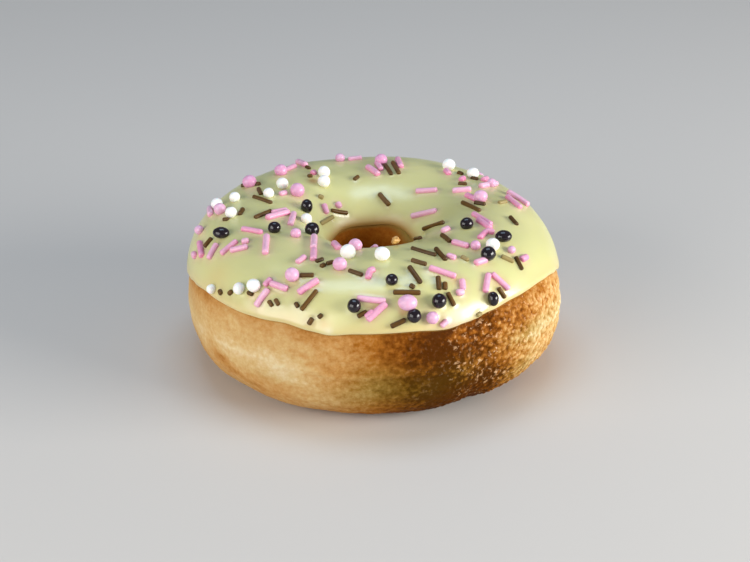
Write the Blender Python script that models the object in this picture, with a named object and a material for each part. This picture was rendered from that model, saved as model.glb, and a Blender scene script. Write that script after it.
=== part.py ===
"""Ring doughnut with icing that runs from its shoulder into its hole, and sugar pearls and rods on it.

Metres, +Z up. The origin is on the table, under the middle of the ring. A place on the ring is given by its
bearing, in degrees anticlockwise from +X, with the front at 270, and by its distance across the roll from the
crest of the ring, in millimetres, positive towards the hole and negative towards the outside.
"""
import math
import random

import bmesh
import bpy
from mathutils import Matrix, Vector

MM = 0.001

# The ring and the section of its roll, icing included
OUTER_RADIUS = 44.0 * MM
HOLE_RADIUS = 8.5 * MM
HEIGHT = 35.2 * MM
WIDEST_LEVEL = 18.25 * MM
TOP_FULLNESS = 2.4
BOTTOM_FULLNESS = 2.8
FLAT_REACH = 0.3 * MM
# The uneven ring's axis, beside the middle of its box
RING_AXIS = (-0.10 * MM, -0.22 * MM)

# Unevenness of the ring: (waves round it, depth, phase in degrees), and for the swells
# (bearing, height, half width in degrees)
OUTLINE_WAVES = ((1, 0.19 * MM, 3), (3, 0.34 * MM, 107), (4, 0.45 * MM, 111))
CREST_WAVES = ((2, 0.30 * MM, 40), (5, 0.22 * MM, 15), (7, 0.12 * MM, 200))
SIDE_SWELLS = ((281, 0.6 * MM, 9), (342, 0.6 * MM, 10), (120, 0.5 * MM, 12))
CREASE_BEARING = 305
CREASE_DEPTH = 0.9 * MM
CREASE_WIDTH = 4.5
CREASE_MIDDLE_ANGLE = -20

# Icing: its thickness, and the level of its lower edge at each bearing outside and in the hole
ICING_THICKNESS = 1.5 * MM
LIP_THICKNESS = 0.75 * MM
LIP_ROUND = 0.9 * MM
THICKENING_RUN = 9.0 * MM
ICING_GAP = 0.32 * MM
# The dough swells back out to the skin over about this run beside the icing
SWELL_BACK_RUN = 5.0 * MM
OUTER_EDGE = (
    (0, 21.4), (14, 21.8), (30, 24.0), (50, 23.9), (75, 24.8), (100, 24.2), (125, 25.1), (150, 23.6),
    (165, 21.8), (176, 20.6), (184, 20.6), (191, 21.8), (198, 23.0), (209, 24.2), (225, 24.5), (234, 24.8),
    (243, 25.3), (252, 24.5), (257, 24.0), (265, 24.6), (282, 25.0), (293, 24.3), (300, 25.0), (308, 26.0),
    (317, 26.7), (330, 26.8), (337, 26.4), (345, 25.2), (352, 23.2),
)
INNER_EDGE_LEVEL = 26.5
INNER_EDGE_WAVES = ((2, 0.45, 200), (5, 0.25, 70))

# Mesh fineness: the icing's underside and the dough that it covers have the same steps
RING_STEPS = 60
BARE_STEPS = 16
COVERED_STEPS = 8
ICING_TOP_STEPS = 14
LIP_ROW_SHARE = 0.3
PEARL_SIDES = 7
PEARL_BANDS = 4
ROD_SIDES = 5

# Sprinkles. A pearl sinks by a share of its radius, and a rod's axis lies above the skin by a share of its
# own radius
PEARL_SINK_SHARE = 0.32
DRIFT_PEARL = 3.0
PINK_ROD_RADIUS = 0.76 * MM
BROWN_ROD_RADIUS = 0.56 * MM
ROD_LIFT_SHARE = 0.5
LONGEST_ROD = 7.8 * MM
SHORT_ROD, LONG_ROD = 4.0, 6.2
SEED = 41

# Pearls: bearing, across and diameter in millimetres
BLACK_PEARLS = (
    (197.5, -9.8, 3.3), (208.5, 0.8, 3), (166.5, 10.2, 3.2), (217.5, 8.6, 3.4), (334.5, 2.2, 3),
    (332.5, -7.2, 3.3), (318, -8.6, 3.5), (277, -9.4, 2.8), (291, -15.6, 3.4), (282.5, -18, 3.2),
    (309, -18, 2.9), (264.5, -15.2, 3.2),
)
WHITE_PEARLS = (
    (170, -10.8, 2.8), (184, -6.4, 2.8), (163.5, 0.8, 2.6), (150, 1.6, 3), (120.5, 3.2, 3), (127, 6.8, 3),
    (168.5, -6.6, 2.6), (189, 10.6, 2.8), (257.5, 1.4, 3.6), (275, -0.2, 3.4), (54, -5, 3.1),
    (40.5, -5.4, 3), (324, -7.2, 3.3), (213, -20.2, 2.3), (225, -17, 2.7), (230, -15.2, 3.2),
)
PINK_PEARLS = (
    (183, -14.8, 2.3), (153.5, -6.2, 3.3), (137.5, -3.4, 3), (104.5, -5.2, 2.3), (85.5, -1.4, 3),
    (177.5, -9.2, 3), (152, 6, 3.4), (219.5, 3.6, 2.5), (259, 6.4, 3.1), (256.5, -4.2, 3.2),
    (241, -10.2, 3.3), (10.5, 0.4, 3.2), (28, -5.8, 2.4), (319, -4.6, 2.3), (329, -10.6, 1.9),
    (281, -15.2, 3.8), (288, -18.8, 2.9),
)
# Rods, each from one (bearing, across) to another
PINK_RODS = (
    (190, -15.4, 198.5, -16.4), (200.5, -11.8, 203.5, -15.6), (207.5, -13, 207, -8),
    (209.5, -11, 214, -7.6), (199, -5.4, 208, -2), (212.5, -2, 224, -7), (193.5, 1.2, 183, 6.8),
    (186.5, 2.8, 180, 6.4), (181.5, 8.2, 203.5, 5.8), (226.5, 7.2, 238, 1.4), (238.5, 1.2, 243.5, -3.2),
    (139, -3.8, 126.5, -4.6), (121.5, -8.6, 123, -3.2), (167, -13.8, 176, -12), (143, 12.2, 148.5, 14.6),
    (241.5, 8, 249.5, 4.8), (78.5, -4.2, 74, 1.2), (93, 1, 86, 5.4), (88, -1.4, 84.5, 3.2),
    (101, -4.8, 94.5, -5.6), (53, 9.2, 39, 6.2), (38, 15.6, 13, 11), (29.5, 4.4, 25, 0.4),
    (19.5, 2.8, 10, 1.4), (26.5, -2.2, 29.5, -8), (19.5, -7.6, 10.5, -11.4), (14, -6.2, 4, -8.6),
    (53, -3, 48.5, -1.6), (34, -5.6, 36.5, -8), (351, 2.8, 340, -2.8), (343.5, 1, 337, -3.2),
    (326, -3, 333.5, -2.8), (315, 0.6, 317, -3.6), (311, -8.8, 316.5, -9.2), (234.5, -13.2, 241.5, -13.4),
    (235, -14.6, 233, -19.2), (250.5, -9.4, 245.5, -13.8), (238.5, -6, 239, -2.8),
    (265, -13.2, 274.5, -14.2), (274.5, -14.6, 268.5, -18.2), (292.5, -6.6, 300.5, -10.8),
    (302, -11.6, 300.5, -14.2), (312.5, -12.4, 307.5, -16.2), (313.5, -12.6, 316.5, -17.8),
)
BROWN_RODS = (
    (154, -8.6, 152.5, -3.6), (157, -3, 163.5, -1), (166.5, -2.6, 172.5, 2.6), (191, -1.4, 183.5, 2.8),
    (185.5, -4.6, 180, -3.8), (194.5, -12.2, 195.5, -14.8), (140, 14.4, 120.5, 16.2), (83.5, 0, 77.5, 5.2),
    (80, -1.5, 73, 4.5), (84, 11.6, 71.5, 14.6), (7, 2.2, 4, -0.2), (10, 5, -5, 1.2),
    (353, -5.8, 347.5, -8), (354.5, 15.6, 340.5, 8.6), (319.5, 5.4, 314.5, 1), (316, 13, 310, 9),
    (292.5, 3.2, 300, -2.6), (303.5, 0.4, 301.5, -5.2), (328, -12.2, 326, -15.6), (251.5, -12, 248, -17.4),
    (243, -9.2, 248, -8.2), (260.5, -5.2, 266.5, -7), (277, -12.2, 286, -13), (294, -9.6, 292.5, -13),
    (295, -13.8, 296, -17.2), (287.5, -2.8, 292.5, -5.4), (285, -5.4, 287, -10.8), (313, -16.2, 314, -19),
    (275.5, -19.8, 280, -18.6), (169, 15.2, 141, 16), (323, -10.2, 325.5, -13),
)
# Drifts of more sprinkles behind and in the hole: bearing, across, half spread of each, then pearls and rods
DRIFTS = (
    (124, -19, 9, 0.5, 3, 0), (59, -19, 8, 0.5, 2, 0), (92, -18, 34, 0.8, 0, 13), (262, 16.4, 24, 1, 0, 4),
)
TRIES = 30
# Steps of the walk across the skin and of the search for a level, and the turn that a slope is taken over
WALK_STEPS = 16
SEARCH_STEPS = 24
SLOPE_TURN = 0.5
SHARP_EDGE = math.radians(35)


def waves(bearing, rows):
    """Sum of the waves round the ring at a bearing."""
    return sum(depth * math.cos(math.radians(count * bearing + phase)) for count, depth, phase in rows)


def bump(bearing, middle, half_width):
    """1 at the middle bearing, fading to 0 on both sides."""
    away = (bearing - middle + 180) % 360 - 180
    return math.exp(-(away / half_width) ** 2)


def eased(share):
    """0 to 1 with a soft start and end."""
    share = min(max(share, 0.0), 1.0)
    return share * share * (3 - 2 * share)


def outline_swell(bearing):
    """How far the outside of the ring stands out from a true circle."""
    return waves(bearing, OUTLINE_WAVES) + sum(
        height * bump(bearing, middle, width) for middle, height, width in SIDE_SWELLS)


def skin_point(bearing, angle):
    """Point of the skin at a bearing and an angle round the roll: 0 outside, 90 on top, 180 in the hole."""
    across, up = math.cos(math.radians(angle)), math.sin(math.radians(angle))
    ring_radius = (OUTER_RADIUS + HOLE_RADIUS) / 2
    half_width = (OUTER_RADIUS - HOLE_RADIUS) / 2 + max(across, 0.0) * outline_swell(bearing)
    if up >= 0:
        reach, fullness = HEIGHT - WIDEST_LEVEL + up * up * waves(bearing, CREST_WAVES), TOP_FULLNESS
    else:
        reach, fullness = WIDEST_LEVEL + FLAT_REACH, BOTTOM_FULLNESS
    roll = (abs(across / half_width) ** fullness + abs(up / reach) ** fullness) ** (-1 / fullness)
    radius = ring_radius + roll * across
    turn = math.radians(bearing)
    middle_x, middle_y = RING_AXIS
    return Vector((
        middle_x + radius * math.cos(turn), middle_y + radius * math.sin(turn), WIDEST_LEVEL + roll * up))


def skin_normal(bearing, angle):
    """Outward direction of the skin."""
    along = skin_point(bearing + SLOPE_TURN, angle) - skin_point(bearing - SLOPE_TURN, angle)
    around = skin_point(bearing, angle + SLOPE_TURN) - skin_point(bearing, angle - SLOPE_TURN)
    return along.cross(around).normalized()


def offset_point(bearing, angle, offset):
    """Point of the skin moved out by an offset, or in by a negative one."""
    return skin_point(bearing, angle) + skin_normal(bearing, angle) * offset


def angle_across(bearing, across):
    """Angle round the roll at a distance across from the crest, in metres."""
    angle = 90.0
    for _ in range(WALK_STEPS):
        pace = (skin_point(bearing, angle + SLOPE_TURN) - skin_point(bearing, angle - SLOPE_TURN)).length
        angle += across / WALK_STEPS * 2 * SLOPE_TURN / pace
    return angle


def angle_at_level(bearing, level, low, high):
    """Angle between low and high at which the skin is at a level."""
    rising = skin_point(bearing, high).z > skin_point(bearing, low).z
    for _ in range(SEARCH_STEPS):
        middle = (low + high) / 2
        if (skin_point(bearing, middle).z < level) == rising:
            low = middle
        else:
            high = middle
    return (low + high) / 2


def edge_level(bearing):
    """Level of the icing's outer edge, eased from each given bearing to the next."""
    bearing %= 360
    rows = OUTER_EDGE + ((OUTER_EDGE[0][0] + 360, OUTER_EDGE[0][1]),)
    for (start, low), (end, high) in zip(rows, rows[1:]):
        if start <= bearing <= end:
            return (low + (high - low) * eased((bearing - start) / (end - start))) * MM
    return OUTER_EDGE[0][1] * MM


def icing_angles(bearing):
    """Angles round the roll of the icing's outer and inner edges."""
    outer = angle_at_level(bearing, edge_level(bearing), 0, 90)
    inner_level = (INNER_EDGE_LEVEL + waves(bearing, INNER_EDGE_WAVES)) * MM
    return outer, angle_at_level(bearing, inner_level, 90, 180)


def icing_thickness(run):
    """Thickness of the icing at a distance from its nearer edge."""
    return LIP_THICKNESS + (ICING_THICKNESS - LIP_THICKNESS) * eased(run / THICKENING_RUN)


def run_shares(steps, length):
    """Shares of the way across the icing: even steps, and two rows more in each rounded lip."""
    lip = LIP_ROUND / length
    inside = [lip + (1 - 2 * lip) * step / steps for step in range(steps + 1)]
    return [0.0, lip * LIP_ROW_SHARE] + inside + [1 - lip * LIP_ROW_SHARE, 1.0]


def icing_section(bearing):
    """Closed section of the icing: over the top from outside to the hole, and back underneath."""
    start, end = icing_angles(bearing)
    length = math.radians(end - start) * (skin_point(bearing, 90).z - WIDEST_LEVEL)

    def place(share, side):
        run = min(share, 1 - share) * length
        curl = (1 - min(run / LIP_ROUND, 1.0)) ** 2 * LIP_THICKNESS / 2
        offset = -curl if side > 0 else curl - icing_thickness(run)
        return offset_point(bearing, start + (end - start) * share, offset)

    top = [place(share, 1) for share in run_shares(ICING_TOP_STEPS, length)]
    under = [place(share, -1) for share in run_shares(COVERED_STEPS, length)[-2:0:-1]]
    return top + under


def dough_offset(bearing, angle):
    """How far the dough lies under the skin: below the icing by its thickness, and easing out beside it."""
    start, end = icing_angles(bearing)
    roll = skin_point(bearing, 90).z - WIDEST_LEVEL
    inside = math.radians(min(angle - start, end - angle)) * roll
    if inside >= 0:
        return -(icing_thickness(inside) + ICING_GAP)
    return -(LIP_THICKNESS + ICING_GAP) * math.exp(inside / SWELL_BACK_RUN)


def crease(bearing, angle):
    """Depth of the upright fold in the side of the dough."""
    side = math.cos(math.radians(min(max(angle - CREASE_MIDDLE_ANGLE, -90), 90)))
    return CREASE_DEPTH * bump(bearing, CREASE_BEARING, CREASE_WIDTH) * side


def dough_section(bearing):
    """Closed section of the dough, from the outer edge of the icing over the top and round under the ring."""
    start, end = icing_angles(bearing)
    angles = [start + (end - start) * step / COVERED_STEPS for step in range(COVERED_STEPS)]
    angles += [end + (start + 360 - end) * step / BARE_STEPS for step in range(BARE_STEPS)]
    points = []
    for angle in angles:
        if angle > 270:
            angle -= 360
        depth = crease(bearing, angle) if angle < start else 0.0
        point = offset_point(bearing, angle, dough_offset(bearing, angle) - depth)
        point.z = max(point.z, 0.0)
        points.append(point)
    return points


def painted(obj, colour, roughness, metallic=0.0):
    """Give an object a material of its own."""
    material = bpy.data.materials.new(obj.name)
    material.use_nodes = True
    shader = material.node_tree.nodes["Principled BSDF"]
    shader.inputs["Base Color"].default_value = (*colour, 1.0)
    shader.inputs["Roughness"].default_value = roughness
    shader.inputs["Metallic"].default_value = metallic
    obj.data.materials.append(material)


def ring_of_sections(name, section):
    """A torus whose every section is replaced by the section at its bearing."""
    section_steps = len(section(0))
    bpy.ops.mesh.primitive_torus_add(
        major_segments=RING_STEPS, minor_segments=section_steps, major_radius=OUTER_RADIUS / 2,
        minor_radius=HOLE_RADIUS)
    ring = bpy.context.object
    ring.name = ring.data.name = name
    for step in range(RING_STEPS):
        for place, point in enumerate(section(360 * step / RING_STEPS)):
            ring.data.vertices[step * section_steps + place].co = point
    ring.data.shade_smooth()
    return ring


def make_dough():
    dough = ring_of_sections("dough", dough_section)
    painted(dough, (0.62, 0.33, 0.11), 0.6)
    return dough


def make_icing():
    icing = ring_of_sections("icing", icing_section)
    painted(icing, (0.80, 0.78, 0.42), 0.35)
    return icing


def make_pearl(collection, bearing, across, diameter):
    """A sugar ball sunk a little into the icing. Gives its middle and radius."""
    radius = diameter / 2 * MM
    angle = angle_across(bearing, across * MM)
    middle = offset_point(bearing, angle, radius * (1 - PEARL_SINK_SHARE))
    mesh = bpy.data.meshes.new("pearl")
    shape = bmesh.new()
    turn = skin_normal(bearing, angle).to_track_quat("Z", "Y").to_matrix().to_4x4()
    bmesh.ops.create_uvsphere(
        shape, u_segments=PEARL_SIDES, v_segments=PEARL_BANDS, radius=radius,
        matrix=Matrix.Translation(middle) @ turn)
    shape.to_mesh(mesh)
    shape.free()
    collection.objects.link(bpy.data.objects.new("pearl", mesh))
    return middle, radius


def rod_ends(rod, radius):
    """Ends of a straight rod laid on the skin between two places, no longer than the longest rod."""
    places = ((rod[0], rod[1]), ((rod[0] + rod[2]) / 2, (rod[1] + rod[3]) / 2), (rod[2], rod[3]))
    angles = [angle_across(bearing, across * MM) for bearing, across in places]
    first, middle, last = [skin_point(place[0], angle) for place, angle in zip(places, angles)]
    centre = ((first + last) / 2 + middle) / 2
    centre += skin_normal(places[1][0], angles[1]) * radius * ROD_LIFT_SHARE
    half = (last - first) / 2
    half *= min(1.0, LONGEST_ROD / 2 / half.length)
    return centre - half, centre + half


def make_rod(collection, rod, radius):
    """A sugar rod laid on the icing. Gives its middle and half length."""
    first, last = rod_ends(rod, radius)
    mesh = bpy.data.meshes.new("rod")
    shape = bmesh.new()
    turn = (last - first).to_track_quat("Z", "Y").to_matrix().to_4x4()
    bmesh.ops.create_cone(
        shape, cap_ends=True, segments=ROD_SIDES, radius1=radius, radius2=radius, depth=(last - first).length,
        matrix=Matrix.Translation((first + last) / 2) @ turn)
    shape.to_mesh(mesh)
    shape.free()
    collection.objects.link(bpy.data.objects.new("rod", mesh))
    return (first + last) / 2, radius * 2


def drift_places(draw, drift, taken):
    """Free places in a drift for its pearls and then its rods."""
    middle, across, bearing_spread, across_spread, pearls, rods = drift
    for count, clearance, pearl in ((pearls, DRIFT_PEARL / 2 * MM, True), (rods, PINK_ROD_RADIUS * 2, False)):
        for _ in range(count):
            for _ in range(TRIES):
                bearing = middle + draw.uniform(-1, 1) * bearing_spread
                away = across + draw.uniform(-1, 1) * across_spread
                turn = draw.uniform(0, math.pi)
                spot = skin_point(bearing, angle_across(bearing, away * MM))
                if all((spot - other).length > radius + clearance for other, radius in taken):
                    yield bearing, away, turn, spot, pearl
                    break


def scatter_sprinkles(collection):
    """The placed sprinkles first, then the drifts."""
    taken = [make_pearl(collection, *place) for place in BLACK_PEARLS + WHITE_PEARLS + PINK_PEARLS]
    taken += [make_rod(collection, rod, PINK_ROD_RADIUS) for rod in PINK_RODS]
    taken += [make_rod(collection, rod, BROWN_ROD_RADIUS) for rod in BROWN_RODS]
    draw = random.Random(SEED)
    for drift in DRIFTS:
        for bearing, away, turn, spot, pearl in drift_places(draw, drift, taken):
            if pearl:
                taken.append(make_pearl(collection, bearing, away, DRIFT_PEARL))
                continue
            half = draw.uniform(SHORT_ROD, LONG_ROD) / 2
            radius = draw.choice((PINK_ROD_RADIUS, BROWN_ROD_RADIUS))
            sweep = math.degrees(half * MM * math.cos(turn) / spot.xy.length)
            rise = half * math.sin(turn)
            rod = (bearing - sweep, away - rise, bearing + sweep, away + rise)
            taken.append(make_rod(collection, rod, radius))


def keep_largest_body(obj):
    """Drop loose scraps and the walls of sealed hollows, which are small bodies of their own."""
    shape = bmesh.new()
    shape.from_mesh(obj.data)
    left, bodies = set(shape.verts), []
    while left:
        body, border = set(), {left.pop()}
        while border:
            vertex = border.pop()
            body.add(vertex)
            near = {edge.other_vert(vertex) for edge in vertex.link_edges}
            border |= near - body
        left -= body
        bodies.append(body)
    bodies.sort(key=len)
    spare = [vertex for body in bodies[:-1] for vertex in body]
    bmesh.ops.delete(shape, geom=spare, context="VERTS")
    shape.to_mesh(obj.data)
    shape.free()


def fuse(obj, collection):
    """Join the collection's objects to an object as one solid, and remove them."""
    union = obj.modifiers.new("fused sprinkles", "BOOLEAN")
    union.operation = "UNION"
    union.operand_type = "COLLECTION"
    union.collection = collection
    union.solver = "EXACT"
    bpy.context.view_layer.objects.active = obj
    bpy.ops.object.modifier_apply(modifier=union.name)
    for part in list(collection.objects):
        bpy.data.objects.remove(part)
    bpy.data.collections.remove(collection)
    keep_largest_body(obj)
    obj.data.set_sharp_from_angle(angle=SHARP_EDGE)


def build():
    for obj in list(bpy.data.objects):
        bpy.data.objects.remove(obj)
    make_dough()
    icing = make_icing()
    sprinkles = bpy.data.collections.new("sprinkles")
    bpy.context.scene.collection.children.link(sprinkles)
    scatter_sprinkles(sprinkles)
    fuse(icing, sprinkles)


build()
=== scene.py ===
import itertools
import math
import random

import bpy
import numpy as np
from mathutils import Matrix, Vector
from mathutils.bvhtree import BVHTree
from mathutils.kdtree import KDTree


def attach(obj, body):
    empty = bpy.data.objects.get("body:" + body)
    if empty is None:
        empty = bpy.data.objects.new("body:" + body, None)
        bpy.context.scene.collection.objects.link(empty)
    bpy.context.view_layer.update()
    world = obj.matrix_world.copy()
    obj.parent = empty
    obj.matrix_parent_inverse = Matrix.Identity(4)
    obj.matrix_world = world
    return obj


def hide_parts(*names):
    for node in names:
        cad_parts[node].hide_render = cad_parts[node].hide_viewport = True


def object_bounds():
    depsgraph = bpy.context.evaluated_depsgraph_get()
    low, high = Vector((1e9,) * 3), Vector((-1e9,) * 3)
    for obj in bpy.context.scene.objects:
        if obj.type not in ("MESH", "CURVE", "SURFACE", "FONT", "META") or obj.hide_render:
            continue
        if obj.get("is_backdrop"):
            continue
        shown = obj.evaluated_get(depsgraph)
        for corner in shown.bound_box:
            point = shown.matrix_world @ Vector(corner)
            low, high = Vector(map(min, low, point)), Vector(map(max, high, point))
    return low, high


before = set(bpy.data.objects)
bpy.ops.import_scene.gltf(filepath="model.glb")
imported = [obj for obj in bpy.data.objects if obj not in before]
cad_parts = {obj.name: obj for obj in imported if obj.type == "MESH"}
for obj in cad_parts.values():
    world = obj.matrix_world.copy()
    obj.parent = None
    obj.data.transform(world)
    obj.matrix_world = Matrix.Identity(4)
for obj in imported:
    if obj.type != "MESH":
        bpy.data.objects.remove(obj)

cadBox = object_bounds()
mm = 0.001

# A place on the ring is a bearing in degrees (anticlockwise from +X, front at 270) and a distance across
# the roll in millimetres from its crest, plus towards the hole and minus towards the outside.
ring = {
    "outerRadius": 44.0 * mm,
    "holeRadius": 8.5 * mm,
    "height": 35.2 * mm,
    "widestLevel": 18.25 * mm,
    "topFullness": 2.4,
    "bottomFullness": 2.8,
    "flatReach": 0.3 * mm,
    "axis": (-0.10 * mm, -0.22 * mm),
    # waves round the ring: how many, how deep and their phase in degrees
    "outlineWaves": ((1, 0.19 * mm, 3), (3, 0.34 * mm, 107), (4, 0.45 * mm, 111)),
    "crestWaves": ((2, 0.30 * mm, 40), (5, 0.22 * mm, 15), (7, 0.12 * mm, 200)),
    # swells of the side: bearing, height and half width in degrees
    "sideSwells": ((281, 0.6 * mm, 9), (342, 0.6 * mm, 10), (120, 0.5 * mm, 12)),
}


def waves(bearing, rows):
    return sum(depth * np.cos(np.radians(count * bearing + phase)) for count, depth, phase in rows)


def bump(bearing, middle, halfWidth):
    away = (bearing - middle + 180) % 360 - 180
    return np.exp(-(away / halfWidth) ** 2)


def eased(share):
    share = np.clip(share, 0, 1)
    return share * share * (3 - 2 * share)


def easedRows(rows, bearing):
    # values given at some bearings, eased from each to the next; one column for each value in a row
    table = np.array(rows + ((rows[0][0] + 360, *rows[0][1:]),), float)
    place = np.clip(np.searchsorted(table[:, 0], bearing % 360, side="right") - 1, 0, len(rows) - 1)
    share = eased((bearing % 360 - table[place, 0]) / (table[place + 1, 0] - table[place, 0]))[..., None]
    return table[place, 1:] + (table[place + 1, 1:] - table[place, 1:]) * share


def outlineSwell(bearing):
    swells = sum(height * bump(bearing, middle, width) for middle, height, width in ring["sideSwells"])
    return waves(bearing, ring["outlineWaves"]) + swells


def skinPoint(bearing, angle):
    # angle goes round the roll: 0 outside, 90 on top, 180 in the hole
    bearing, angle = np.broadcast_arrays(np.asarray(bearing, float), np.asarray(angle, float))
    across, up = np.cos(np.radians(angle)), np.sin(np.radians(angle))
    outer, hole, widest = ring["outerRadius"], ring["holeRadius"], ring["widestLevel"]
    halfWidth = (outer - hole) / 2 + np.maximum(across, 0) * outlineSwell(bearing)
    topReach = ring["height"] - widest + up * up * waves(bearing, ring["crestWaves"])
    reach = np.where(up >= 0, topReach, widest + ring["flatReach"])
    fullness = np.where(up >= 0, ring["topFullness"], ring["bottomFullness"])
    roll = (np.abs(across / halfWidth) ** fullness + np.abs(up / reach) ** fullness) ** (-1 / fullness)
    radius = (outer + hole) / 2 + roll * across
    turn = np.radians(bearing)
    x = ring["axis"][0] + radius * np.cos(turn)
    y = ring["axis"][1] + radius * np.sin(turn)
    return np.stack((x, y, widest + roll * up), axis=-1)


def skinNormal(bearing, angle):
    step = 0.5
    along = skinPoint(bearing + step, angle) - skinPoint(bearing - step, angle)
    around = skinPoint(bearing, angle + step) - skinPoint(bearing, angle - step)
    normal = np.cross(along, around)
    return normal / np.linalg.norm(normal, axis=-1, keepdims=True)


def angleAcross(bearing, across):
    # walks over the roll from its crest, in even steps
    angle, steps, step = 90.0, 16, 0.5
    for _ in range(steps):
        pace = np.linalg.norm(skinPoint(bearing, angle + step) - skinPoint(bearing, angle - step))
        angle += across * mm / steps / pace
    return angle


def angleAtLevel(bearing, level, low, high):
    # the angle at which the skin is at a level, found by halving
    halvings = 24
    low = np.full_like(bearing, low, dtype=float)
    high = np.full_like(bearing, high, dtype=float)
    rising = skinPoint(bearing, high)[..., 2] > skinPoint(bearing, low)[..., 2]
    for _ in range(halvings):
        middle = (low + high) / 2
        lift = (skinPoint(bearing, middle)[..., 2] < level) == rising
        low, high = np.where(lift, middle, low), np.where(lift, high, middle)
    return (low + high) / 2


# Icing
icingCoat = {
    "thickness": 1.5 * mm,
    "lipThickness": 0.75 * mm,
    "lipRound": 0.9 * mm,
    "thickeningRun": 9.0 * mm,
    "gap": 0.32 * mm,
    # level in millimetres of its lower edge at each bearing, outside and then in the hole
    "outerEdge": (
        (0, 21.4), (14, 21.8), (30, 24.0), (50, 23.9), (75, 24.8), (100, 24.2), (125, 25.1), (150, 23.6),
        (165, 21.8), (176, 20.6), (184, 20.6), (191, 21.8), (198, 23.0), (209, 24.2), (225, 24.5), (234, 24.8),
        (243, 25.3), (252, 24.5), (257, 24.0), (265, 24.6), (282, 25.0), (293, 24.3), (300, 25.0), (308, 26.0),
        (317, 26.7), (330, 26.8), (337, 26.4), (345, 25.2), (352, 23.2)),
    "innerEdgeLevel": 26.5,
    "innerEdgeWaves": ((2, 0.45, 200), (5, 0.25, 70)),
    "ringSteps": 210,
    "topRows": 78,
    "lipRows": 5,
    "underRows": 8,
    "undulation": 0.30 * mm,
    "undulationSize": 11 * mm,
    # how far in from the lip the undulation reaches its full height, in millimetres
    "calmLip": 2,
    "meniscus": 0.16 * mm,
    "meniscusReach": 0.75 * mm,
    "meniscusFall": 1.6,
    "traceReach": 1.3 * mm,
    "nearSprinkles": 2,
    # how far from its edge in the hole the icing is thin enough to see through, in millimetres; over this run
    # it is also painted darker as shade where it dips into the hole
    "seeThroughRun": 1.65,
}
# Stains in the icing, and patches of painted light and painted shade on it: bearing, across, reach in
# millimetres and strength
stainsAndPaintedLight = {
    "orangeStain": (
        (130.5, 4.5, 1.3, 0.9), (230, -17.1, 1.1, 0.8), (212, -17.5, 4.2, 0.25), (245, -19.5, 3.5, 0.15),
        (251.5, -19.4, 1.3, 0.7), (255.5, -19.6, 1.3, 0.8), (280, -16.9, 0.9, 0.8), (300.5, -11.5, 1.5, 0.45),
        (315, -15.6, 1.5, 0.55), (270.5, -15.8, 1.4, 0.35)),
    "pinkStain": ((329.5, 6.9, 1.5, 0.4), (294, -20.4, 1.4, 0.5), (24, -4, 2.0, 0.25), (152.5, 6.5, 2.2, 0.3)),
    "milkyStain": ((256.6, -20.9, 0.8, 0.9), (298.5, -20.0, 2.2, 0.5)),
    # pale patches are painted light: where the icing is lit brighter, with a painted highlight on the front lip
    "paintedLightPatch": (
        (254, -19, 5.0, 0.5), (357, -7, 7.0, 0.6), (64, -3, 7.0, 0.5), (229, 1.3, 4.5, 0.8),
        (105, 16.7, 4.0, 0.5)),
    # olive patches are painted shade, where the icing lies in shade
    "paintedShadePatch": ((254, -8.5, 5.0, 0.25), (313, 6.6, 4.5, 0.7), (2, 9, 5.5, 0.5), (8, 0, 6.0, 0.25)),
}


def edgeLevel(bearing):
    return easedRows(icingCoat["outerEdge"], bearing)[..., 0] * mm


def icingAngles(bearing):
    outer = angleAtLevel(bearing, edgeLevel(bearing), 0, 90)
    innerLevel = (icingCoat["innerEdgeLevel"] + waves(bearing, icingCoat["innerEdgeWaves"])) * mm
    return outer, angleAtLevel(bearing, innerLevel, 90, 180)


def icingThickness(run):
    lip = icingCoat["lipThickness"]
    return lip + (icingCoat["thickness"] - lip) * eased(run / icingCoat["thickeningRun"])


def deselectAll():
    bpy.ops.object.select_all(action="DESELECT")


def pointAttribute(piece, name, values):
    layer = piece.data.attributes.new(name, "FLOAT", "POINT")
    layer.data.foreach_set("value", np.ascontiguousarray(values, np.float32).reshape(-1))


def readAttribute(piece, name):
    values = np.zeros(len(piece.data.vertices), np.float32)
    piece.data.attributes[name].data.foreach_get("value", values)
    return values


def layTorus(name, points, facts):
    # a torus whose rows are laid where the ring's section says, then made twice as fine
    deselectAll()
    bpy.ops.mesh.primitive_torus_add(
        major_segments=points.shape[0], minor_segments=points.shape[1],
        major_radius=ring["outerRadius"] / 2, minor_radius=ring["holeRadius"])
    piece = bpy.context.object
    piece.name = piece.data.name = name
    piece.data.vertices.foreach_set("co", points.reshape(-1).astype(np.float32))
    piece.data.update()
    for factName, values in facts.items():
        pointAttribute(piece, factName, values)
    finer = piece.modifiers.new("finer", "SUBSURF")
    finer.levels = 1
    bpy.ops.object.modifier_apply(modifier=finer.name)
    bpy.ops.object.shade_smooth()
    return piece


def vertexPlaces(piece):
    places = np.zeros(len(piece.data.vertices) * 3, np.float32)
    piece.data.vertices.foreach_get("co", places)
    return places.reshape(-1, 3)


weightLevels = 50


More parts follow.
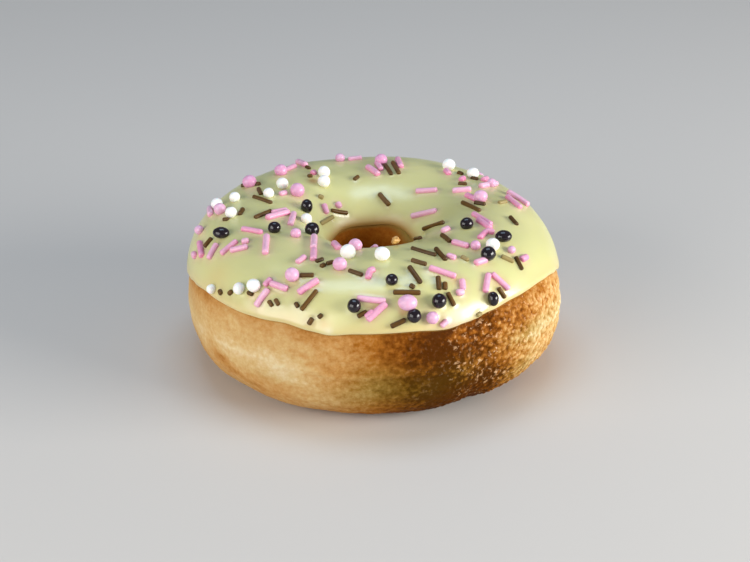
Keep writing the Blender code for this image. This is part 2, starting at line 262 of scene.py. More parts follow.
def displaceBy(piece, textureName, kind, size, strength, weights=None, depth=2):
    # a Displace modifier over a procedural texture, held back where the weights are low, and applied
    texture = bpy.data.textures.new(textureName, kind)
    texture.noise_scale = size
    if kind == "CLOUDS":
        texture.noise_depth = depth
    piece.data.update()
    lift = piece.modifiers.new(textureName, "DISPLACE")
    lift.texture = texture
    lift.texture_coords = "LOCAL"
    lift.direction = "NORMAL"
    lift.mid_level = 0.5
    lift.strength = strength
    if weights is not None:
        group = piece.vertex_groups.new(name=textureName)
        levels = np.round(np.clip(weights.reshape(-1), 0, 1) * weightLevels).astype(int)
        for level in range(1, weightLevels + 1):
            group.add(np.flatnonzero(levels == level).tolist(), level / weightLevels, "REPLACE")
        lift.vertex_group = group.name
    bpy.context.view_layer.objects.active = piece
    bpy.ops.object.modifier_apply(modifier=lift.name)
    if weights is not None:
        piece.vertex_groups.remove(piece.vertex_groups[textureName])


def makeIcing():
    bearing = np.arange(icingCoat["ringSteps"]) * 360 / icingCoat["ringSteps"]
    start, end = icingAngles(bearing)
    length = np.radians(end - start) * (skinPoint(bearing, 90)[..., 2] - ring["widestLevel"])
    lipShare = (icingCoat["lipRound"] / length)[:, None]
    lip = lipShare * (1 - np.cos(np.linspace(0, math.pi / 2, icingCoat["lipRows"] + 1)[:-1]))

    def shares(rows):
        inside = lipShare + (1 - 2 * lipShare) * np.linspace(0, 1, rows)
        return np.concatenate((lip, inside, 1 - lip[:, ::-1]), axis=1)

    def lay(share, isTop):
        run = np.minimum(share, 1 - share) * length[:, None]
        curl = (1 - np.minimum(run / icingCoat["lipRound"], 1)) ** 2 * icingCoat["lipThickness"] / 2
        offset = -curl if isTop else curl - icingThickness(run)
        angle = start[:, None] + (end - start)[:, None] * share
        wide = np.broadcast_to(bearing[:, None], angle.shape)
        return skinPoint(wide, angle) + skinNormal(wide, angle) * offset[..., None], run

    top = shares(icingCoat["topRows"])
    under = shares(icingCoat["underRows"])[:, -2:0:-1]
    topPoints, topRun = lay(top, True)
    underPoints, underRun = lay(under, False)
    points = np.concatenate((topPoints, underPoints), axis=1)
    run = np.concatenate((topRun, underRun), axis=1)
    onTop = np.concatenate((np.ones_like(topRun), np.zeros_like(underRun)), axis=1)
    # the icing thins to nothing in the hole, where the crust shows through, and is painted darker there as
    # shade where it dips into the hole
    inHole = np.concatenate((np.where(top > 0.5, 1.0, 0.0), np.zeros_like(underRun)), axis=1)
    seeThroughAndShade = inHole * np.exp(-(run / mm / icingCoat["seeThroughRun"]) ** 2)
    facts = {"lipRun": run / mm, "seeThroughAndShade": seeThroughAndShade, "onTop": onTop}
    # each stain, and each patch of painted light and of painted shade, fades out from its middle
    for tintName, rows in stainsAndPaintedLight.items():
        facts[tintName] = np.zeros_like(run)
        for stainBearing, across, reach, strength in rows:
            middle = skinPoint(stainBearing, angleAcross(stainBearing, across))
            away = np.linalg.norm(points - middle, axis=-1) / (reach * mm)
            facts[tintName] = np.maximum(facts[tintName], strength * np.exp(-away ** 2))
    icing = layTorus("icingCoat", points, facts)
    displaceBy(
        icing, "icingUndulation", "CLOUDS", icingCoat["undulationSize"], icingCoat["undulation"],
        readAttribute(icing, "onTop") * eased(readAttribute(icing, "lipRun") / icingCoat["calmLip"]))
    return icing


def settleIcing(icing, middles, reaches, pinkness, brownness):
    # the icing rises a little against each sprinkle and takes a trace of its colour
    places = vertexPlaces(icing)
    onTop = readAttribute(icing, "onTop")
    normals = np.zeros(len(places) * 3, np.float32)
    icing.data.vertices.foreach_get("normal", normals)
    normals = normals.reshape(-1, 3)
    tree = KDTree(len(middles))
    for number, middle in enumerate(middles):
        tree.insert(middle, number)
    tree.balance()
    rise = np.zeros(len(places))
    pink = np.zeros(len(places))
    brown = np.zeros(len(places))
    for index in np.flatnonzero(onTop > 0.5):
        for _, number, distance in tree.find_n(places[index], icingCoat["nearSprinkles"]):
            away = max(distance - reaches[number], 0.0)
            fall = away / icingCoat["meniscusReach"] * icingCoat["meniscusFall"]
            rise[index] = max(rise[index], math.exp(-fall ** 2))
            trace = math.exp(-(away / icingCoat["traceReach"]) ** 2)
            pink[index] = max(pink[index], trace * pinkness[number])
            brown[index] = max(brown[index], trace * brownness[number])
    places = places + normals * (rise * icingCoat["meniscus"])[:, None]
    icing.data.vertices.foreach_set("co", places.astype(np.float32).reshape(-1))
    icing.data.update()
    pointAttribute(icing, "pinkTrace", pink)
    pointAttribute(icing, "brownTrace", brown)


# Dough
doughBody = {
    "ringSteps": 236,
    "coveredRows": 6,
    "holeRows": 20,
    "underRows": 12,
    "outsideRows": 60,
    # how many of the steps are even round the ring, and how strongly the others gather on rough skin
    "evenSteps": 0.35,
    "gathering": 1.5,
    # the underside's ends, as shares of the way from the lip in the hole down to the lip outside
    "underside": (0.24, 0.60),
    "swellBackRun": 5.0 * mm,
    "creaseBearing": 305,
    "creaseDepth": 0.9 * mm,
    "creaseWidth": 4.5,
    "creaseMiddleAngle": -20,
    # the low ridge where the two fried sides meet: its height, half width and the half width of its tint
    "bandRidge": 0.22 * mm,
    "ridgeWidth": 0.65,
    "ridgeTintWidth": 0.75,
    # the ridge ends where the skin faces outwards by this share, and is full by this much more
    "sideShare": (0.2, 0.4),
    # where the ridge is faint: the bearing with its half width, and how much of it goes
    "ridgeFade": ((198, 22), 0.85),
    "lumps": 0.9 * mm,
    "lumpWeight": 0.8,
    "lumpSize": 10 * mm,
    "wrinkles": 0.45 * mm,
    "wrinkleSize": 2.5 * mm,
    # share of the wrinkles on smooth skin
    "smoothWrinkles": 0.35,
    "blisters": 0.50 * mm,
    "blisterSize": 1.05 * mm,
    # the foot and the lip stay smooth: up to this level, and from this far beside the icing on, over this run
    "calmFoot": 2.5 * mm,
    "calmLip": (0.4, 2.5),
    # level in millimetres of the line where the two fried sides meet
    "band": (
        (0, 15.2), (60, 15.6), (120, 14.6), (180, 13.2), (205, 13.1), (218, 14.7), (236, 15.5), (244, 14.8),
        (252, 15.1), (257, 13.7), (272, 14.3), (282, 15.4), (290, 13.9), (297, 13.3), (306, 14.9), (310, 16.4),
        (315, 17.6), (325, 16.6), (345, 15.8)),
    # how far it is fried, 0 to 1, at each bearing: under the lip, above the line, on it, below it, at the foot
    "frying": (
        (0, 0.36, 0.31, 0.24, 0.42, 0.52), (15, 0.42, 0.38, 0.25, 0.40, 0.46),
        (60, 0.50, 0.42, 0.24, 0.38, 0.42), (110, 0.48, 0.38, 0.20, 0.35, 0.40),
        (150, 0.40, 0.32, 0.18, 0.32, 0.35), (183, 0.40, 0.27, 0.19, 0.33, 0.34),
        (205, 0.52, 0.28, 0.17, 0.38, 0.33), (225, 0.34, 0.23, 0.12, 0.34, 0.29),
        (240, 0.33, 0.26, 0.13, 0.34, 0.35), (250, 0.50, 0.31, 0.24, 0.31, 0.39),
        (258, 0.48, 0.33, 0.42, 0.35, 0.49), (268, 0.56, 0.50, 0.62, 0.56, 0.64),
        (276, 0.78, 0.75, 0.78, 0.74, 0.74), (283, 0.94, 0.94, 0.98, 0.92, 0.88),
        (291, 1.14, 1.10, 1.08, 1.16, 1.20), (299, 0.86, 0.84, 0.84, 1.06, 1.28),
        (307, 0.80, 0.76, 0.76, 0.90, 1.06), (318, 0.60, 0.58, 0.50, 0.68, 0.80),
        (330, 0.48, 0.40, 0.28, 0.48, 0.68), (342, 0.38, 0.30, 0.24, 0.44, 0.58)),
    "holeFrying": 0.50,
    # the hole's tint, painted shade that darkens the wall of the hole, starts at this level and is full this
    # far above it, in millimetres
    "paintedHoleShade": (2, 5),
    # a thin film of icing on the wall of the hole, painted in the colour of icing in shade: its reach in
    # millimetres, and where it reaches further
    "filmReach": 0.45,
    "filmRun": ((18, 30), 3.0),
    # blistered skin: bearing and how rough, 0 to 1
    "roughness": (
        (0, 0.7), (40, 0.35), (150, 0.2), (200, 0.12), (240, 0.16), (256, 0.26), (272, 0.34), (288, 0.6),
        (298, 1.0), (345, 0.95)),
    # darker or paler patches: bearing, level, half width and half height in millimetres, change
    "patches": (
        (217, 10.5, 3.0, 1.2, 0.30), (222, 8.4, 3.4, 1.0, 0.22), (213, 13.0, 2.2, 1.2, 0.18),
        (231, 7.0, 3.0, 1.4, 0.12), (275, 19.5, 5.0, 2.6, 0.06), (296, 22.0, 5.0, 1.6, -0.22),
        (301, 9.5, 5.0, 2.0, 0.12), (288, 16.0, 5.0, 1.5, -0.12), (244, 12.0, 5.0, 1.2, -0.08),
        (325, 21.0, 4.0, 1.2, 0.08), (322, 7.5, 6.0, 3.0, -0.09)),
    # where the crust is olive instead of orange: the same, with a share of 0 to 1
    "olive": (
        (262, 8.0, 8.0, 4.0, 0.5), (272, 12.0, 7.0, 5.0, 0.8), (286, 10.0, 8.0, 5.0, 0.8),
        (298, 13.0, 6.0, 4.0, 0.5), (326, 17.2, 9.0, 2.8, 0.9), (238, 12.0, 8.0, 2.0, 0.4),
        (322, 8.0, 9.0, 4.5, 0.75), (344, 14.0, 6.0, 6.0, 0.55)),
}


def bandLevel(bearing):
    return easedRows(doughBody["band"], bearing)[..., 0] * mm


def patchAt(bearing, level, patch):
    middle, height, wide, tall, change = patch
    sideways = ((bearing - middle + 180) % 360 - 180) * math.radians(1) * ring["outerRadius"] / mm / wide
    return change * np.exp(-sideways ** 2 - ((level / mm - height) / tall) ** 2)


def fryingAt(bearing, level, edge, angle, start):
    # columns 0 to 4 of the frying rows, met in turn from the lip to the floor, with 2 on the line
    band = bandLevel(bearing)
    place = np.where(level > band, 2 * (edge - level) / (edge - band), 2 + 2 * (band - level) / band)
    beforeLast = 3.999
    place = np.clip(place, 0, beforeLast)
    columns = easedRows(doughBody["frying"], bearing)
    column = place.astype(int)[..., None]
    low = np.take_along_axis(columns, column, axis=-1)[..., 0]
    high = np.take_along_axis(columns, column + 1, axis=-1)[..., 0]
    frying = low + (high - low) * eased(place % 1)
    for patch in doughBody["patches"]:
        frying = frying + patchAt(bearing, level, patch)
    return np.where(angle < start, frying, doughBody["holeFrying"])


def makeDough():
    # steps round the ring are closest where the skin is roughest, and rows are closest on the outside
    around = np.arange(0, 360, 0.5)
    roughness = easedRows(doughBody["roughness"], around)[..., 0]
    closeness = np.cumsum(doughBody["evenSteps"] + roughness ** doughBody["gathering"])
    stepShare = np.arange(doughBody["ringSteps"]) / doughBody["ringSteps"] * closeness[-1]
    bearing = np.interp(stepShare, np.concatenate(((0,), closeness)), np.concatenate((around, (360,))))
    start, end = icingAngles(bearing)
    covered = np.linspace(0, 1, doughBody["coveredRows"] + 1)[:-1]
    underStart, underEnd = doughBody["underside"]
    bare = np.concatenate((
        np.linspace(0, underStart, doughBody["holeRows"] + 1)[:-1],
        np.linspace(underStart, underEnd, doughBody["underRows"] + 1)[:-1],
        np.linspace(underEnd, 1, doughBody["outsideRows"] + 1)[:-1]))
    angle = np.concatenate((
        start[:, None] + (end - start)[:, None] * covered,
        end[:, None] + (start + 360 - end)[:, None] * bare), axis=1)
    angle = np.where(angle > 270, angle - 360, angle)
    wide = np.broadcast_to(bearing[:, None], angle.shape)
    roll = skinPoint(wide, 90)[..., 2] - ring["widestLevel"]
    inside = np.radians(np.minimum(angle - start[:, None], end[:, None] - angle)) * roll
    hidden = -(icingThickness(inside) + icingCoat["gap"])
    shown = -(icingCoat["lipThickness"] + icingCoat["gap"]) * np.exp(inside / doughBody["swellBackRun"])
    offset = np.where(inside >= 0, hidden, shown)
    below = np.where(angle < start[:, None], 1.0, 0.0)
    creaseSide = np.cos(np.radians(np.clip(angle - doughBody["creaseMiddleAngle"], -90, 90)))
    crease = bump(wide, doughBody["creaseBearing"], doughBody["creaseWidth"]) * creaseSide * below
    points = skinPoint(wide, angle)
    fromBand = (points[..., 2] - bandLevel(wide)) / mm
    side = below * eased((np.cos(np.radians(angle)) - doughBody["sideShare"][0]) / doughBody["sideShare"][1])
    ridgeShare = 1 - doughBody["ridgeFade"][1] * bump(wide, *doughBody["ridgeFade"][0])
    frying = fryingAt(wide, points[..., 2], edgeLevel(bearing)[:, None], angle, start[:, None])
    ridge = doughBody["bandRidge"] * np.exp(-(fromBand / doughBody["ridgeWidth"]) ** 2) * side * ridgeShare
    offset = offset - crease * doughBody["creaseDepth"] + ridge
    points = points + skinNormal(wide, angle) * offset[..., None]
    points[..., 2] = np.maximum(points[..., 2], 0)
    run = np.maximum(-inside, 0)
    rough = easedRows(doughBody["roughness"], wide)[..., 0]
    onRidge = np.exp(-(fromBand / doughBody["ridgeTintWidth"]) ** 2) * side * ridgeShare
    olive = np.clip(sum(patchAt(wide, points[..., 2], patch) for patch in doughBody["olive"]), 0, 1) * below
    tintStart, tintRise = doughBody["paintedHoleShade"]
    underMiddle = 250
    inHole = (1 - below) * (angle < underMiddle) * eased((points[..., 2] / mm - tintStart) / tintRise)
    filmReach = doughBody["filmReach"] + doughBody["filmRun"][1] * bump(wide, *doughBody["filmRun"][0])
    shadedIcingFilm = inHole * np.exp(-(run / mm / filmReach) ** 2)
    dough = layTorus("doughBody", points, {
        "run": run / mm, "frying": frying, "rough": rough * below, "crease": crease, "onRidge": onRidge,
        "olive": olive, "inHole": inHole, "shadedIcingFilm": shadedIcingFilm})

    clearOfFloor = eased(vertexPlaces(dough)[:, 2] / doughBody["calmFoot"])
    calmRun, easeRun = doughBody["calmLip"]
    free = clearOfFloor * eased((readAttribute(dough, "run") - calmRun) / easeRun)
    roughSide = readAttribute(dough, "rough")
    smooth = doughBody["smoothWrinkles"]
    displaceBy(
        dough, "doughLumps", "CLOUDS", doughBody["lumpSize"], doughBody["lumps"],
        free * doughBody["lumpWeight"], depth=1)
    displaceBy(
        dough, "doughWrinkles", "CLOUDS", doughBody["wrinkleSize"], doughBody["wrinkles"],
        free * (smooth + (1 - smooth) * roughSide))
    before = vertexPlaces(dough)
    normals = np.zeros(before.size, np.float32)
    dough.data.vertices.foreach_get("normal", normals)
    displaceBy(
        dough, "doughBlisters", "VORONOI", doughBody["blisterSize"], -doughBody["blisters"], free * roughSide)
    # from -1 in the pits to 1 on the blisters; the crust's colour uses it for painted light on the blisters'
    # tops and painted shade in their pits
    rise = ((vertexPlaces(dough) - before) * normals.reshape(-1, 3)).sum(axis=1)
    pointAttribute(dough, "blister", rise / doughBody["blisters"] * 2)
    return dough


# Sprinkles
pearl = {
    "sinkShare": 0.32,
    "driftDiameter": 3.0,
    "segments": 26,
    "rings": 16,
    "lumpiness": 0.10,
    "lumpSize": 1.1,
    # how far each may differ from round, along three directions
    "uneven": ((0.97, 1.05), (0.96, 1.03), (0.94, 1.0)),
    "seed": 7,
}
rod = {
    "pinkRadius": 0.76 * mm,
    "brownRadius": 0.56 * mm,
    "liftShare": 0.5,
    "longest": 7.8 * mm,
    "shortest": 1.3 * mm,
    "sides": 14,
    # the rounding of its ends and the plain length kept beside them, in radii
    "endRound": 0.62,
    "endSegments": 4,
    "endRoom": 2.4,
    "crossCuts": 7,
    "bow": 0.10 * mm,
    "uneven": (0.88, 1.08),
    # room that the drifts leave round its middle, in radii
    "room": 2,
}
# Tone of a sprinkle: its spread, its least on pearls and on rods, how much lighter it is on top and darker
# underneath as painted light and painted shade, and what is added for a coated rod. Its foot, where it meets
# the icing, is this share of its radius.
sprinkleTone = {"spread": 0.6, "leastPearl": 0.12, "leastRod": 0.1, "paintedTopLight": 0.4, "coated": 2}
footShare = 0.85
# Pearls: bearing, across and diameter in millimetres
blackPearls = (
    (197.5, -9.8, 3.3), (208.5, 0.8, 3), (166.5, 10.2, 3.2), (217.5, 8.6, 3.4), (334.5, 2.2, 3),
    (332.5, -7.2, 3.3), (318, -8.6, 3.5), (277, -9.4, 2.8), (291, -15.6, 3.4), (282.5, -18, 3.2),
    (309, -18, 2.9), (264.5, -15.2, 3.2),
)
whitePearls = (
    (170, -10.8, 2.8), (184, -6.4, 2.8), (163.5, 0.8, 2.6), (150, 1.6, 3), (120.5, 3.2, 3), (127, 6.8, 3),
    (168.5, -6.6, 2.6), (189, 10.6, 2.8), (257.5, 1.4, 3.6), (275, -0.2, 3.4), (54, -5, 3.1), (40.5, -5.4, 3),
    (324, -7.2, 3.3), (213, -20.2, 2.3), (225, -17, 2.7), (230, -15.2, 3.2),
)
pinkPearls = (
    (183, -14.8, 2.3), (153.5, -6.2, 3.3), (137.5, -3.4, 3), (104.5, -5.2, 2.3), (85.5, -1.4, 3),
    (177.5, -9.2, 3), (152, 6, 3.4), (219.5, 3.6, 2.5), (259, 6.4, 3.1), (256.5, -4.2, 3.2), (241, -10.2, 3.3),
    (10.5, 0.4, 3.2), (28, -5.8, 2.4), (319, -4.6, 2.3), (329, -10.6, 1.9), (281, -15.2, 3.8),
    (288, -18.8, 2.9),
)
# Pearls that aren't round: how wide and how tall beside their diameter
ovalPearls = {
    (197.5, -9.8): (1.20, 0.82), (332.5, -7.2): (1.20, 0.84), (281, -15.2): (1.12, 0.92),
    (166.5, 10.2): (0.90, 1.14), (309, -18): (0.90, 1.12)}
# Rods, each from one (bearing, across) to another
pinkRods = (
    (190, -15.4, 198.5, -16.4), (200.5, -11.8, 203.5, -15.6), (207.5, -13, 207, -8), (209.5, -11, 214, -7.6),
    (199, -5.4, 208, -2), (212.5, -2, 224, -7), (193.5, 1.2, 183, 6.8), (186.5, 2.8, 180, 6.4),
    (181.5, 8.2, 203.5, 5.8), (226.5, 7.2, 238, 1.4), (238.5, 1.2, 243.5, -3.2), (139, -3.8, 126.5, -4.6),
    (121.5, -8.6, 123, -3.2), (167, -13.8, 176, -12), (143, 12.2, 148.5, 14.6), (241.5, 8, 249.5, 4.8),
    (78.5, -4.2, 74, 1.2), (93, 1, 86, 5.4), (88, -1.4, 84.5, 3.2), (101, -4.8, 94.5, -5.6),
    (53, 9.2, 39, 6.2), (38, 15.6, 13, 11), (29.5, 4.4, 25, 0.4), (19.5, 2.8, 10, 1.4), (26.5, -2.2, 29.5, -8),
    (19.5, -7.6, 10.5, -11.4), (14, -6.2, 4, -8.6), (53, -3, 48.5, -1.6), (34, -5.6, 36.5, -8),
    (351, 2.8, 340, -2.8), (343.5, 1, 337, -3.2), (326, -3, 333.5, -2.8), (315, 0.6, 317, -3.6),
    (311, -8.8, 316.5, -9.2), (234.5, -13.2, 241.5, -13.4), (235, -14.6, 233, -19.2),
    (250.5, -9.4, 245.5, -13.8), (238.5, -6, 239, -2.8), (265, -13.2, 274.5, -14.2),
    (274.5, -14.6, 268.5, -18.2), (292.5, -6.6, 300.5, -10.8), (302, -11.6, 300.5, -14.2),
    (312.5, -12.4, 307.5, -16.2), (313.5, -12.6, 316.5, -17.8),
)
brownRods = (
    (154, -8.6, 152.5, -3.6), (157, -3, 163.5, -1), (166.5, -2.6, 172.5, 2.6), (191, -1.4, 183.5, 2.8),
    (185.5, -4.6, 180, -3.8), (194.5, -12.2, 195.5, -14.8), (140, 14.4, 120.5, 16.2), (83.5, 0, 77.5, 5.2),
    (80, -1.5, 73, 4.5), (84, 11.6, 71.5, 14.6), (7, 2.2, 4, -0.2), (10, 5, -5, 1.2), (353, -5.8, 347.5, -8),
    (354.5, 15.6, 340.5, 8.6), (319.5, 5.4, 314.5, 1), (316, 13, 310, 9), (292.5, 3.2, 300, -2.6),
    (303.5, 0.4, 301.5, -5.2), (328, -12.2, 326, -15.6), (251.5, -12, 248, -17.4), (243, -9.2, 248, -8.2),
    (260.5, -5.2, 266.5, -7), (277, -12.2, 286, -13), (294, -9.6, 292.5, -13), (295, -13.8, 296, -17.2),
    (287.5, -2.8, 292.5, -5.4), (285, -5.4, 287, -10.8), (313, -16.2, 314, -19), (275.5, -19.8, 280, -18.6),
    (169, 15.2, 141, 16), (323, -10.2, 325.5, -13),
)
# Short pieces that lie between the others
shortPinkRods = (
    (209, -7.6, 210.5, -6.2), (126.5, 1.8, 123.5, 1.4), (160.5, 3, 155.5, 4), (127.5, 13, 127.5, 14.6),
    (191, -18.2, 194, -18.2), (39.5, -1, 40.5, -2.8), (333.5, -2.6, 334.5, -4.6), (324.5, 6.6, 330.5, 5.8),
    (304, -3.6, 306, -5.6), (329, -13.6, 332.5, -14), (233, -14.4, 234, -12), (268.5, -8.2, 269, -5.8),
    (268.5, -6, 271, -5), (268, -17.6, 270.5, -16.2), (298, -14.4, 300.5, -14.6), (293, -19.8, 290.5, -21),
)
shortBrownRods = (
    (185.5, -8.6, 187, -7.2), (103, 6.6, 99, 5.2), (130.5, 2.4, 128, 2.8), (123.5, -2.8, 123.5, -1),
    (37, 0.6, 33.5, -0.8), (39.5, -4.4, 36, -5), (47.5, -4.2, 44.5, -4.2), (245.5, -15.8, 247, -16.8),
    (236.5, -17, 238.5, -18), (238.5, -16.2, 240.5, -17.4), (228, -17, 230.5, -17), (221, -19.2, 222, -18.2),
    (216.5, -19.6, 217.5, -20), (251, -20, 252, -18.4), (254, -18, 254.5, -17.6), (245, -3.6, 247, -1.6),
    (248.5, -5, 249.5, -3.8), (250, -3.6, 252.5, -2.2), (265.5, -17.4, 268.5, -16.2),
    (295.5, -11.4, 294.5, -13.2), (283.5, -11, 284, -11.4), (139.5, 10, 138.5, 10.6), (6, -3.4, 8.5, -5.6),
    (309, -5.4, 310, -7.4), (302.5, -20.4, 304.5, -20),
)
# Rods that the icing has coated, which are olive or tan
coatedRods = (
    (169, 15.2, 141, 16), (139.5, 10, 138.5, 10.6), (6, -3.4, 8.5, -5.6), (309, -5.4, 310, -7.4),
    (323, -10.2, 325.5, -13), (302.5, -20.4, 304.5, -20),
)
# Drifts of more sprinkles: bearing, across, half spread of each, then pearls and rods in them
drifts = (
    (124, -19, 9, 0.5, 3, 0), (59, -19, 8, 0.5, 2, 0), (92, -18, 34, 0.8, 0, 13), (262, 16.4, 24, 1, 0, 4),
)
extraDrifts = (
    (92, -20.4, 38, 1.5, 0, 12), (262, 16.4, 24, 1, 0, 3),
)
draws = {"seed": 41, "tries": 30, "shortRod": 4.0, "longRod": 6.2, "extraSeed": 77, "extraShortRod": 2.4}


def rodPlaces(row):
    return (row[0], row[1]), ((row[0] + row[2]) / 2, (row[1] + row[3]) / 2), (row[2], row[3])


def rodEnds(row, radius):
    places = rodPlaces(row)
    angles = [angleAcross(*place) for place in places]
    first, middle, last = [skinPoint(place[0], angle) for place, angle in zip(places, angles)]
    centre = ((first + last) / 2 + middle) / 2 + skinNormal(places[1][0], angles[1]) * radius * rod["liftShare"]
    half = (last - first) / 2
    half = half * min(1.0, rod["longest"] / 2 / np.linalg.norm(half))
    return Vector(centre - half), Vector(centre + half)


def layDrifts(rows, draw, taken, shortRod):
    # free places in each drift, for its pearls and then its rods
    pearlRoom, rodRoom = pearl["driftDiameter"] / 2 * mm, rod["pinkRadius"] * rod["room"]
    for middle, across, bearingSpread, acrossSpread, pearls, rods in rows:
        for count, clearance, isPearl in ((pearls, pearlRoom, True), (rods, rodRoom, False)):
            for _ in range(count):
                for _ in range(draws["tries"]):
                    bearing = middle + draw.uniform(-1, 1) * bearingSpread
                    away = across + draw.uniform(-1, 1) * acrossSpread
                    turn = draw.uniform(0, math.pi)
                    spot = Vector(skinPoint(bearing, angleAcross(bearing, away)))
                    if all((spot - other).length > radius + clearance for other, radius in taken):
                        break
                else:
                    continue
                if isPearl:
                    yield "pearl", (bearing, away, pearl["driftDiameter"])
                    continue
                half = draw.uniform(shortRod, draws["longRod"]) / 2
                kind = draw.choice(("pink", "brown"))
                sweep = math.degrees(half * mm * math.cos(turn) / spot.xy.length)
                rise = half * math.sin(turn)
                yield kind, (bearing - sweep, away - rise, bearing + sweep, away + rise)


def pearlMiddle(place):
    bearing, across, diameter = place
    angle = angleAcross(bearing, across)
    normal = skinNormal(bearing, angle)
    lift = diameter / 2 * mm * (1 - pearl["sinkShare"])
    return Vector(skinPoint(bearing, angle) + normal * lift), Vector(normal), lift


def planSprinkles():
    plan = {
        "pearlsBlack": list(blackPearls), "pearlsWhite": list(whitePearls), "pearlsPink": list(pinkPearls),
        "rodsPink": list(pinkRods), "rodsBrown": list(brownRods)}
    taken = []

    def takePearl(place):
        taken.append((pearlMiddle(place)[0], place[2] / 2 * mm))

    def takeRod(row, radius):
        first, last = rodEnds(row, radius)
        taken.append(((first + last) / 2, radius * rod["room"]))

    for place in blackPearls + whitePearls + pinkPearls:
        takePearl(place)
    for row in pinkRods:
        takeRod(row, rod["pinkRadius"])
    for row in brownRods:
        takeRod(row, rod["brownRadius"])
    colours = itertools.cycle(("pearlsWhite", "pearlsPink", "pearlsBlack"))

    def take(rows, seed, shortRod):
        for kind, place in layDrifts(rows, random.Random(seed), taken, shortRod):
            if kind == "pearl":
                plan[next(colours)].append(place)
                takePearl(place)
            else:
                takeRod(place, rod[kind + "Radius"])
                plan["rodsPink" if kind == "pink" else "rodsBrown"].append(place)

    take(drifts, draws["seed"], draws["shortRod"])
    plan["rodsPink"] += shortPinkRods
    plan["rodsBrown"] += shortBrownRods
    take(extraDrifts, draws["extraSeed"], draws["extraShortRod"])
    return plan


def modelPearl():
    deselectAll()
    bpy.ops.mesh.primitive_uv_sphere_add(segments=pearl["segments"], ring_count=pearl["rings"], radius=1)
    master = bpy.context.object
    master.name = "pearlMaster"
    displaceBy(master, "pearlLumps", "CLOUDS", pearl["lumpSize"], pearl["lumpiness"])
    bpy.ops.object.shade_smooth()
    return master


def modelRod():
    # one straight rod at its real size along Z, with rounded ends and cuts along it so that it can bow
    length, radius, cuts = rod["longest"], rod["pinkRadius"], rod["crossCuts"]
    deselectAll()
    bpy.ops.mesh.primitive_cylinder_add(
        vertices=rod["sides"], radius=radius, depth=length, end_fill_type="NGON")
    master = bpy.context.object
    master.name = "rodMaster"
    bpy.ops.object.mode_set(mode="EDIT")
    bpy.ops.mesh.select_mode(type="FACE")
    bpy.ops.mesh.select_all(action="DESELECT")
    bpy.ops.object.mode_set(mode="OBJECT")
    for face in master.data.polygons:
        face.select = abs(face.normal.z) > 0.9
    bpy.ops.object.mode_set(mode="EDIT")
    bpy.ops.mesh.bevel(
        offset=radius * rod["endRound"], segments=rod["endSegments"], profile=0.5, affect="EDGES")
    for cut in range(cuts):
        bpy.ops.mesh.select_all(action="SELECT")
        height = (cut + 0.5 - cuts / 2) * (length - rod["endRoom"] * radius) / cuts
        bpy.ops.mesh.bisect(plane_co=(0, 0, height), plane_no=(0, 0, 1))
    bpy.ops.object.mode_set(mode="OBJECT")
    bpy.ops.object.shade_smooth()
    return master


def surfaceShift(tree, point, normal):
    # how far the laid icing stands from the plain skin at a place, looked at from a little above it
    above = 4
    hit = tree.ray_cast(point + normal * above * mm, -normal)[0]
    return (hit - point).dot(normal) if hit else 0.0


def joinCopies(name, master, placings, values):
    copies = []
    for number, (places, value) in enumerate(zip(placings, values)):
        copy = master.copy()
        copy.data = master.data.copy()
        copy.name = f"{name}{number}"
        bpy.context.collection.objects.link(copy)
        copy.data.vertices.foreach_set("co", places.astype(np.float32).reshape(-1))
        pointAttribute(copy, "tone", value)
        copies.append(copy)
    deselectAll()
    for copy in copies:
        copy.select_set(True)
    bpy.context.view_layer.objects.active = copies[0]
    bpy.ops.object.join()
    piece = bpy.context.object
    piece.name = piece.data.name = name
    return piece


def turnTo(direction, spin):
    return np.array(direction.to_track_quat("Z", "Y").to_matrix() @ Matrix.Rotation(spin, 3, "Z"))


def layPearls(name, master, rows, tree, draw):
    shape = vertexPlaces(master)
    placings, values, settled = [], [], []
    for row in rows:
        middle, normal, lift = pearlMiddle(row)
        middle += normal * surfaceShift(tree, middle - normal * lift, normal)
        radius = row[2] / 2 * mm
        wide, tall = ovalPearls.get(row[:2], (1, 1))
        uneven = np.array([draw.uniform(*spread) for spread in pearl["uneven"]])
        turn = turnTo(normal, draw.uniform(0, 2 * math.pi))
        placings.append((shape * uneven * radius) @ turn.T * (wide, 1, tall) + np.array(middle))
        # painted light and shade: lighter on the pearl's top, darker underneath
        paintedTopLight = (placings[-1] - np.array(middle)) @ np.array(normal) / radius
        tone = draw.random() * sprinkleTone["spread"] + sprinkleTone["leastPearl"]
        values.append(tone + sprinkleTone["paintedTopLight"] * paintedTopLight)
        settled.append((middle - normal * lift, radius * footShare))
    return joinCopies(name, master, placings, values), settled


